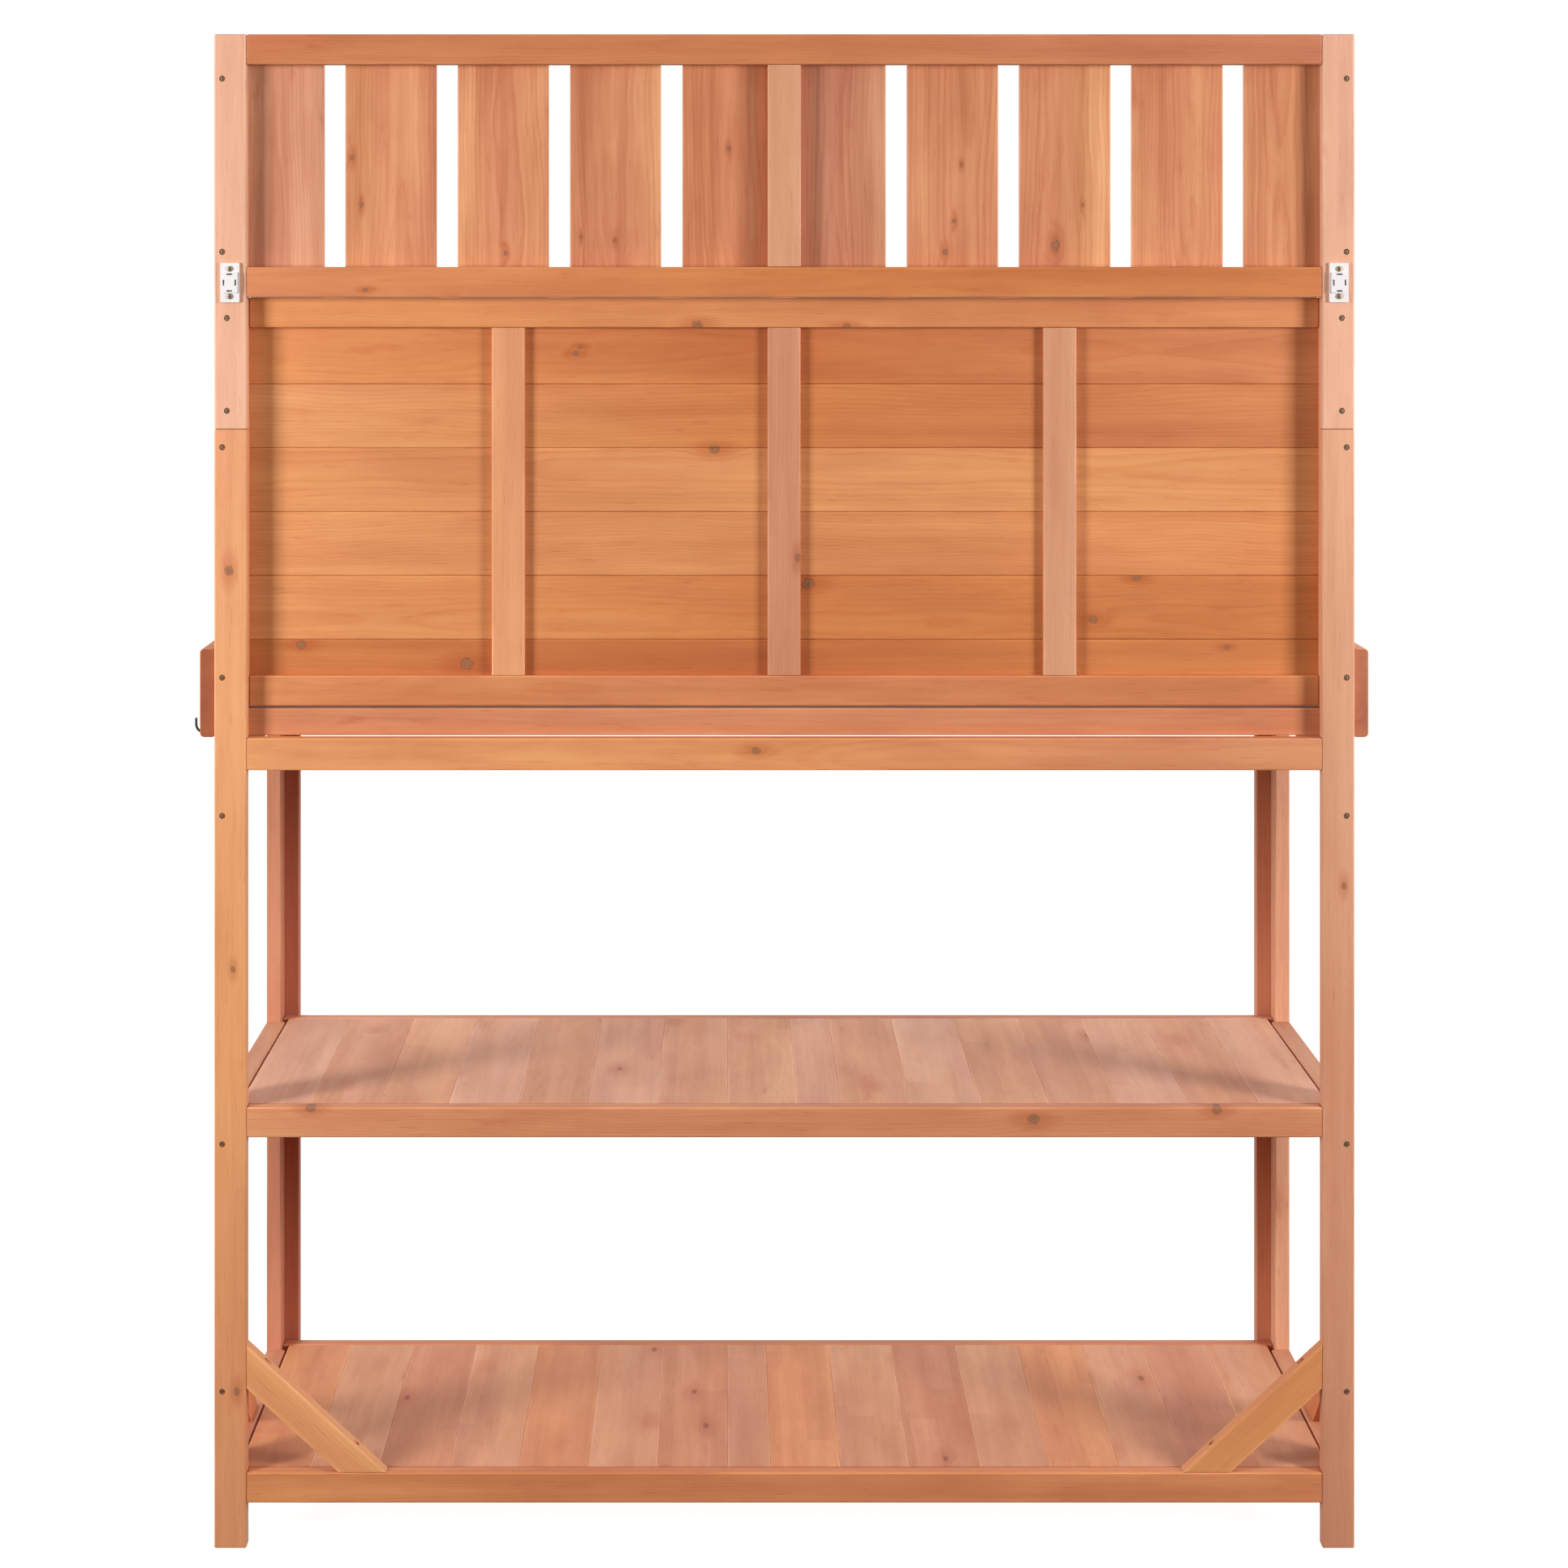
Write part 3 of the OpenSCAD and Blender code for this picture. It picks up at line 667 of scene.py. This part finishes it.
def screws(node, material, rng, head_h, shank_r, shank_l):
    """Makes the screws of a CAD node, each as a head and its shank's first part, and returns their places."""
    found = screw_list(node)
    head = head_mesh(found[0][2] * 0.985, head_h)
    bm = bmesh.new()
    for top, out_dir, _, _ in found:
        turn = Vector((0, 0, 1)).rotation_difference(out_dir).to_matrix().to_4x4()
        spin = Matrix.Rotation(rng.uniform(0, math.pi / 2), 4, "Z")
        part = bmesh.new()
        part.from_mesh(head)
        part.transform(Matrix.Translation(top) @ turn @ spin)
        spare = bpy.data.meshes.new("spare")
        part.to_mesh(spare)
        part.free()
        bm.from_mesh(spare)
        bpy.data.meshes.remove(spare)
        cylinder_mesh(bm, top - out_dir * (head_h + 0.00002), -out_dir, shank_r, shank_l, 20)
    obj = new_object(node + "_detail", [], [])
    bm.to_mesh(obj.data)
    bm.free()
    finish_mesh(obj, 35)
    obj.data.materials.append(material)
    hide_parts(node)
    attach(obj, "root")
    bpy.data.meshes.remove(head)
    return found


# ---- Build ----

# How far cutters stand out of the wood, the gap round screws, and the sizes of heads and bores
PROUD = 1 * MM
CLEARANCE = 0.1 * MM
HEAD_H, BRACKET_HEAD_H = 3 * MM, 1.8 * MM
SHANK_R, BRACKET_SHANK_R = 1.85 * MM, 1.4 * MM
WOOD_SCREW_BORE, BRACKET_SCREW_BORE = 2.1 * MM, 1.6 * MM
DEEPEST_HEAD = 6 * MM
# How far the bores in the braces reach out past the heads
BRACE_REACH = 14 * MM

posts = fir("fir_post", rings=0.8, streaks=0.9, clouds=1.0, rough=0.58)
rails = fir("fir_rail", rings=0.7, streaks=1.1, clouds=1.6, rough=0.56)
wide = fir("fir_board", rings=0.9, streaks=1.1, clouds=1.15, rough=0.56)
slats = fir("fir_slat", rings=1.5, streaks=2.5, clouds=1.9, rough=0.58)
planks = fir("fir_plank", rings=0.6, streaks=1.0, clouds=1.5, pins=0.2, staves=0.7, rough=0.62)
steel = screw_steel()

frame_screws = screws("frame_screws", steel, random.Random(3), HEAD_H, SHANK_R, 12 * MM)
apron_screws = screws("apron_screws", steel, random.Random(5), HEAD_H, SHANK_R, 12.5 * MM)
brace_screws = screws("brace_screws", steel, random.Random(7), HEAD_H, SHANK_R, 12 * MM)
bracket_screws = screws("bracket_screws", steel, random.Random(9), BRACKET_HEAD_H, BRACKET_SHANK_R,
                        16.5 * MM)


def bores_in(lo, hi):
    """Bores that the screws need in a board, with a counterbore for the heads of the frame and apron screws.
    """
    out = []
    for found, sunk, shank_r in ((frame_screws, True, WOOD_SCREW_BORE), (apron_screws, True, WOOD_SCREW_BORE),
                                 (bracket_screws, False, BRACKET_SCREW_BORE)):
        for top, out_dir, radius, _ in found:
            axis = max(range(3), key=lambda i: abs(out_dir[i]))
            across = [i for i in range(3) if i != axis]
            inside = all(lo[i] - 1e-4 < top[i] < hi[i] + 1e-4 for i in across)
            face = hi[axis] if out_dir[axis] > 0 else lo[axis]
            if not inside or abs(top[axis] - face) > DEEPEST_HEAD:
                continue
            start = Vector(top)
            start[axis] = face + out_dir[axis] * PROUD
            through = abs(hi[axis] - lo[axis]) + 2 * PROUD
            seat = PROUD + abs(top[axis] - face) + HEAD_H
            steps = [(shank_r, through)]
            if sunk:
                steps = [(radius + CLEARANCE, seat), (shank_r, through - seat)]
            out.append((start, -out_dir, steps))
    return out


def hook_bores(outer_face):
    """Bores for the hooks' shanks in the apron's outer face."""
    out = []
    for a, _, points in solids("tool_hooks"):
        shank = points[points[:, 0] < a[0] + 0.001]
        middle = (shank.min(0) + shank.max(0)) / 2
        radius = (shank.max(0) - shank.min(0))[1] / 2
        length = PROUD + outer_face - a[0] + 2 * CLEARANCE
        out.append(((outer_face + PROUD, middle[1], middle[2]), (-1, 0, 0), [(radius + CLEARANCE, length)]))
    return out


# How the boards look: one tone, or several along the grain from its low end to its high end. These tones are
# partly the wood's own and partly painted light and shade: lighter towards +X, darker at the foot of the
# lower posts and in the middle of the panel and slats.
SINGLE = {
    # Lower posts darker at the foot and lighter higher up: partly painted shade from the lamps falling off
    # towards the floor.
    "lower_back_post_left": "rose_deep rose rose_light",
    "lower_back_post_right": "tan_light amber_pale tan_pale",
    "upper_back_post_left": "rose_pale", "upper_back_post_right": "rose_pale",
    # The front leg faces are toned deeper, umber most of all, partly as painted shade on their shaded back
    # faces.
    "front_leg_face_left": "rose_deep", "front_leg_face_right": "umber",
    "lower_back_side_board_left": "rose_deep", "lower_back_side_board_right": "rose_deep",
    "upper_back_side_board_left": "rose_light", "upper_back_side_board_right": "rose_light",
    "front_leg_side_left": "rose_light", "front_leg_side_right": "rose_deep",
    # Rails toned lighter towards +X: partly painted light from the stronger lamp on that side.
    "bottom_back_rail": "russet_light russet_light amber",
    "shelf_back_rail": "tan tan tan_light",
    "table_back_rail": "tan amber amber_pale",
    "bottom_front_rail": "tan_deep", "shelf_front_rail": "rose_deep", "table_front_rail": "tan",
    "mid_rail": "amber_deep amber_deep russet_light",
    "top_rail": "tan_deep russet russet",
    "back_brace_left": "amber_light", "back_brace_right": "amber_pale",
    "side_brace_left": "russet", "side_brace_right": "russet_light",
    "slat_batten": "rose",
    "panel_top_rail": "amber amber russet_pale",
    "panel_bottom_rail": "russet russet_light amber",
    "worktop_back_rail": "tan_deep tan tan",
    "worktop_front_rail": "tan",
    "apron_left": "coral", "apron_right": "tan_deep",
    # Slat tones: deeper in the middle of the row and lighter towards +X, partly painted light and shade
    # across the row.
    "slat_1": "tan", "slat_2": "tan_light", "slat_3": "tan", "slat_4": "tan", "slat_5": "rose_deep",
    "slat_6": "tan_deep", "slat_7": "tan", "slat_8": "tan_light", "slat_9": "tan_light",
    "slat_10": "rose",
}
GROUPS = {
    "bottom_side_rails": ["rose_deep"], "shelf_side_rails": ["rose"], "table_side_rails": ["tan_deep"],
    # Battens and panel boards toned deeper in the middle and lighter towards +X: partly painted light and
    # shade across the panel.
    "panel_stiles": ["russet_light"], "panel_battens": ["rose", "rose_deep", "tan_pale"],
    "panel_boards": ["amber_deep russet_deep amber_deep", "amber_deep amber_deep amber_light",
                     "russet_pale amber amber_light", "amber_light amber_light amber_light",
                     "russet amber_deep amber_pale", "russet_light russet_deep russet_pale"],
    "worktop_side_rails": ["tan"], "worktop_crossbars": ["tan_deep"],
    "worktop_boards": ["amber", "tan_light", "russet_light", "tan_light", "amber"],
    "shelf_planks": ["rose_pale", "rose_light", "rose_pale", "rose_light", "rose_light"],
    "shelf_cleats": ["tan_deep"],
    "bottom_planks": ["rose", "rose_deep", "rose", "tan_light"],
    "bottom_cleats": ["tan_deep"],
}

# Knots, in the shared frame: x, y, z and radius in millimetres
KNOTS = {
    "shelf_back_rail": [(488, 209, 465, 4.5), (-276, 209, 454, 6), (-470, 209, 463, 4.5)],
    "table_back_rail": [(17, 209, 843, 4.5)],
    "mid_rail": [(430, 209, 1330, 2.5)],
    "panel_top_rail": [(79, 192, 1293, 5), (-79, 192, 1291, 4)],
    "lower_back_post_right": [(574, 209, 1033, 5), (570, 209, 612, 3), (566, 209, 166, 4)],
    "lower_back_post_left": [(-604, 209, 700, 3.5)],
    "slat_3": [(-301, 192, 1377, 5), (-330, 192, 1420, 2)],
    "slat_4": [(-184, 192, 1370, 3), (-193, 192, 1403, 2.5), (-201, 192, 1463, 2)],
    "slat_9": [(446, 192, 1470, 3), (436, 192, 1420, 2.5)],
    "slat_8": [(283, 192, 1369, 2.5)],
    "slat_7": [(203, 192, 1386, 2), (167, 192, 1382, 2.5)],
    "slat_6": [(46, 192, 1480, 2.5)],
    "panel_battens": [(-27, 192, 1045, 4)],
    "panel_boards": [(501, 180, 952, 5), (325, 180, 932, 7), (-484, 180, 949, 2.5), (-484, 180, 926, 2.5),
                     (61, 180, 1160, 5.5), (-342, 180, 979, 4.5), (-388, 180, 1023, 4), (-38, 180, 1017, 6),
                     (209, 180, 1262, 3), (204, 180, 1269, 2.5)],
}
DECKS = ("shelf_planks", "bottom_planks")
POST_LIKE = ("post", "leg_face", "batten")
WIDE = ("apron", "worktop_board")


def is_slat(node):
    """Whether a node is one of the numbered slats."""
    return node.startswith("slat_") and node != "slat_batten"


def looks(node):
    """The material of a node's boards."""
    if node in DECKS:
        return planks
    if is_slat(node):
        return slats
    if any(k in node for k in POST_LIKE):
        return posts
    return wide if any(k in node for k in WIDE) else rails


def knots_in(node, lo, hi):
    """The knots of a node that lie on one of its boards."""
    return [k for k in KNOTS.get(node, [])
            if all(lo[i] - 0.002 < k[i] * MM < hi[i] + 0.002 for i in (0, 2))]


for node in sorted(SINGLE):
    if "brace" in node:
        continue
    lo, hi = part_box(node)
    rng = random.Random(node)
    cut = "flat" if is_slat(node) or "apron" in node else "mixed"
    ease = 4.5 if "apron" in node else 1.8
    end = 2.2 if "rail" in node else 1.6
    board = Board(lo, hi, stain(SINGLE[node]), rng, ease, end, cut, knots_in(node, lo, hi))
    bores = bores_in(lo, hi)
    if node == "apron_right":
        bores += hook_bores(hi[0])
    timber(node, [board], looks(node), bores)

for node, tints in sorted(GROUPS.items()):
    if node == "panel_boards":
        continue
    rng = random.Random(node)
    boards = []
    found = solids(node)
    gap_share = 0.48 * (found[1][0][0] - found[0][1][0])
    for i, (lo, hi, _) in enumerate(found):
        ease, end = (2.5, 2.5) if "side_rails" in node else (1.6, 0.8)
        if node in DECKS:
            ease, end = 0.8, 0.8
            lo, hi = lo.copy(), hi.copy()
            lo[0] -= gap_share if i else 0
            hi[0] += gap_share if i < len(found) - 1 else 0
        boards.append(Board(lo, hi, stain(tints[i % len(tints)]), rng, ease, end, "mixed",
                            knots_in(node, lo, hi)))
    timber(node, boards, looks(node))


def matchboards(node):
    """Tongued and grooved boards, with a V at each joint on both faces."""
    found = sorted(solids(node), key=lambda s: s[0][2])
    pitch = found[1][0][2] - found[0][0][2]
    width = found[-1][1][2] - found[-1][0][2]
    rng = random.Random(node)
    boards = []
    for i, (lo, hi, _) in enumerate(found):
        tongue = hi[2] - lo[2] - width
        top = lo[2] + width
        b = Board(lo, (hi[0], hi[1], top), stain(GROUPS[node][i]), rng, 1.0, 0.8,
                  "flat" if i % 2 else "rift", knots_in(node, lo, (hi[0], hi[1], top)))
        y0, y1 = lo[1], hi[1]
        v, third = 1.1 * MM, (hi[1] - lo[1]) / 3

        def outline(inset, z0=lo[2], z1=top, y0=y0, y1=y1, has_tongue=tongue > 0.001,
                    groove=i > 0, reach=max(tongue, 0) - 0.0003, v=v, third=third):
            a, c, lower, upper = y0 + inset, y1 - inset, z0 + inset * 0.2, z1 - inset * 0.2
            left, right = y0 + third, y1 - third
            pts = [(lower + v, a), (upper - v, a), (upper, a + v)]
            if has_tongue:
                pts += [(upper, left + 0.0002), (upper + reach, left + 0.0002),
                        (upper + reach, right - 0.0002), (upper, right - 0.0002)]
            pts += [(upper, c - v), (upper - v, c), (lower + v, c), (lower, c - v)]
            if groove:
                pts += [(lower, right), (lower + 0.0044, right), (lower + 0.0044, left), (lower, left)]
            pts += [(lower, a + v)]
            return pts

        b.outline = outline
        boards.append(b)
    timber(node, boards, wide)


matchboards("panel_boards")


def brace(node, across):
    """A diagonal strip, cut level at the rail and upright at the post, its grain along its length."""
    flat = 1 - across
    lo, hi, points = solids(node)[0]
    side = 1 if across or node.endswith("right") else -1
    post = hi[across] if side > 0 else lo[across]
    foot = lo[2]
    reach = side * (post - points[np.abs(points[:, 2] - foot) < 1e-4][:, across])
    up = points[np.abs(points[:, across] - post) < 1e-4][:, 2]

    def place(a, thick, z):
        p = Vector((0, 0, z))
        p[across], p[flat] = a, thick
        return p

    corners = [place(post - side * reach.min(), 0, foot), place(post, 0, up.min()),
               place(post, 0, up.max()), place(post - side * reach.max(), 0, foot)]
    inset = 1.2 * MM
    centre = sum(corners, Vector()) / 4
    turns = (math.pi / 2, math.pi / 4, 0)
    stations = [(lo[flat] + inset * (1 - math.sin(t)), inset * (1 - math.cos(t))) for t in turns]
    stations += [(lo[flat] + hi[flat] - y, k) for y, k in reversed(stations)]
    verts, faces = [], []
    for y, k in stations:
        for c, before, after in zip(corners, corners[-1:] + corners[:-1], corners[1:] + corners[:1]):
            a, b = (c - before).normalized(), (after - c).normalized()
            half_angle = math.acos(max(-1, min(1, (-a).dot(b)))) / 2
            p = c + (b - a).normalized() * (k / math.sin(half_angle))
            p[flat] = y
            verts.append(p)
    for s in range(len(stations) - 1):
        for i in range(4):
            j = (i + 1) % 4
            faces.append((s * 4 + i, s * 4 + j, s * 4 + 4 + j, s * 4 + 4 + i))
    faces.append((0, 1, 2, 3))
    last = 4 * (len(stations) - 1)
    faces.append((last + 3, last + 2, last + 1, last))
    obj = new_object(node + "_timber", verts, faces)
    settle(obj)
    bores = []
    for top, out_dir, radius, _ in brace_screws:
        if all(lo[i] < top[i] < hi[i] for i in range(3)):
            bores.append((top + out_dir * BRACE_REACH, -out_dir,
                          [(radius + CLEARANCE, BRACE_REACH + HEAD_H), (WOOD_SCREW_BORE, 16 * MM)]))
    cut_bores(obj, bores)
    finish_mesh(obj)
    board = Board(lo, hi, stain(SINGLE[node]), random.Random(node))
    along = (corners[2] - corners[3]).normalized()
    thick = place(0, 1, 0)
    over = thick.cross(along)
    frame_of = np.array([along, over, thick])
    origin = np.array(centre + thick * (lo[flat] + hi[flat]) / 2)
    board.coords = lambda co: (co - origin) @ frame_of.T
    board.half = np.array([0.2, 0.016, (hi[flat] - lo[flat]) / 2])
    write_attributes(obj.data, [board], [len(obj.data.vertices)])
    obj.data.materials.clear()
    obj.data.materials.append(wide)
    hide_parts(node)
    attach(obj, "root")


for side in ("left", "right"):
    brace("back_brace_" + side, 0)
    brace("side_brace_" + side, 1)

for node, material in (("wall_brackets", plastic()), ("tool_hooks", coated_wire())):
    obj = CAD[node]
    obj.data.materials.clear()
    obj.data.materials.append(material)
    obj.data.shade_smooth()
    obj.data.set_sharp_from_angle(angle=math.radians(35))


# ---- Studio ----

def studio_floor():
    """A round pale floor just below the feet, which throws no light back."""
    lo, hi = size_at_load
    middle = (lo + hi) / 2
    n, reach = 64, 40
    ring = [(middle.x + reach * math.cos(2 * math.pi * i / n),
             middle.y + reach * math.sin(2 * math.pi * i / n), lo.z - 0.0005) for i in range(n)]
    floor = new_object("studio_floor", ring, [tuple(range(n))])
    mat = bpy.data.materials.new("pale_floor")
    mat.use_nodes = True
    shader = mat.node_tree.nodes["Principled BSDF"]
    shader.inputs["Base Color"].default_value = (0.25, 0.25, 0.25, 1)
    shader.inputs["Roughness"].default_value = 0.9
    shader.inputs["Specular IOR Level"].default_value = 0.0
    shader.inputs["Emission Color"].default_value = (1, 1, 1, 1)
    shader.inputs["Emission Strength"].default_value = 0.96
    floor.data.materials.append(mat)
    floor.visible_diffuse = False
    floor.visible_glossy = False


def soft_light(name, azimuth, distance, height, width, tall, power, aim_z):
    """A soft box behind the bench; azimuth is from straight behind, towards +X."""
    a = math.radians(azimuth)
    data = bpy.data.lights.new(name, "AREA")
    data.shape, data.size, data.size_y, data.energy = "RECTANGLE", width, tall, power
    light = bpy.data.objects.new(name, data)
    light.location = (distance * math.sin(a), distance * math.cos(a), height)
    aim = Vector((0, 0, aim_z)) - light.location
    light.rotation_euler = aim.to_track_quat("-Z", "Y").to_euler()
    bpy.context.scene.collection.objects.link(light)


studio_floor()
soft_light("soft_box_right", 55, 3.3, 1.45, 0.8, 1.1, 90, 0.75)
soft_light("soft_box_left", -55, 3.3, 1.45, 0.8, 1.1, 83, 0.75)

world = bpy.data.worlds.new("white_studio")
bpy.context.scene.world = world
world.use_nodes = True
tree = world.node_tree
background = tree.nodes["Background"]
background.inputs["Color"].default_value = (1, 1, 1, 1)
seen = tree.nodes.new("ShaderNodeLightPath")
sky = tree.nodes.new("ShaderNodeTexCoord")
parts = tree.nodes.new("ShaderNodeSeparateXYZ")
tree.links.new(sky.outputs["Generated"], parts.inputs[0])
behind = tree.nodes.new("ShaderNodeMath")
behind.operation = "MULTIPLY_ADD"
tree.links.new(parts.outputs["Y"], behind.inputs[0])
behind.inputs[1].default_value = -0.42
behind.inputs[2].default_value = 0.42
glow = tree.nodes.new("ShaderNodeMath")
glow.operation = "MULTIPLY_ADD"
tree.links.new(parts.outputs["Z"], glow.inputs[0])
glow.inputs[1].default_value = 0.30
tree.links.new(behind.outputs[0], glow.inputs[2])
level = tree.nodes.new("ShaderNodeMath")
level.operation = "MAXIMUM"
tree.links.new(seen.outputs["Is Camera Ray"], level.inputs[0])
tree.links.new(glow.outputs[0], level.inputs[1])
tree.links.new(level.outputs[0], background.inputs["Strength"])

camera = bpy.data.cameras.new("camera")
camera.sensor_width, camera.lens = 36.0, 71.24
camera.shift_x, camera.shift_y = 0.0385, -0.3287
eye = bpy.data.objects.new("camera", camera)
eye.location = (0.0515, 3.4877, 1.3523)
eye.rotation_euler = (math.radians(90), 0, math.radians(180))
bpy.context.scene.collection.objects.link(eye)
bpy.context.scene.camera = eye
bpy.context.scene.view_settings.view_transform = "Standard"
bpy.context.scene.view_settings.look = "None"
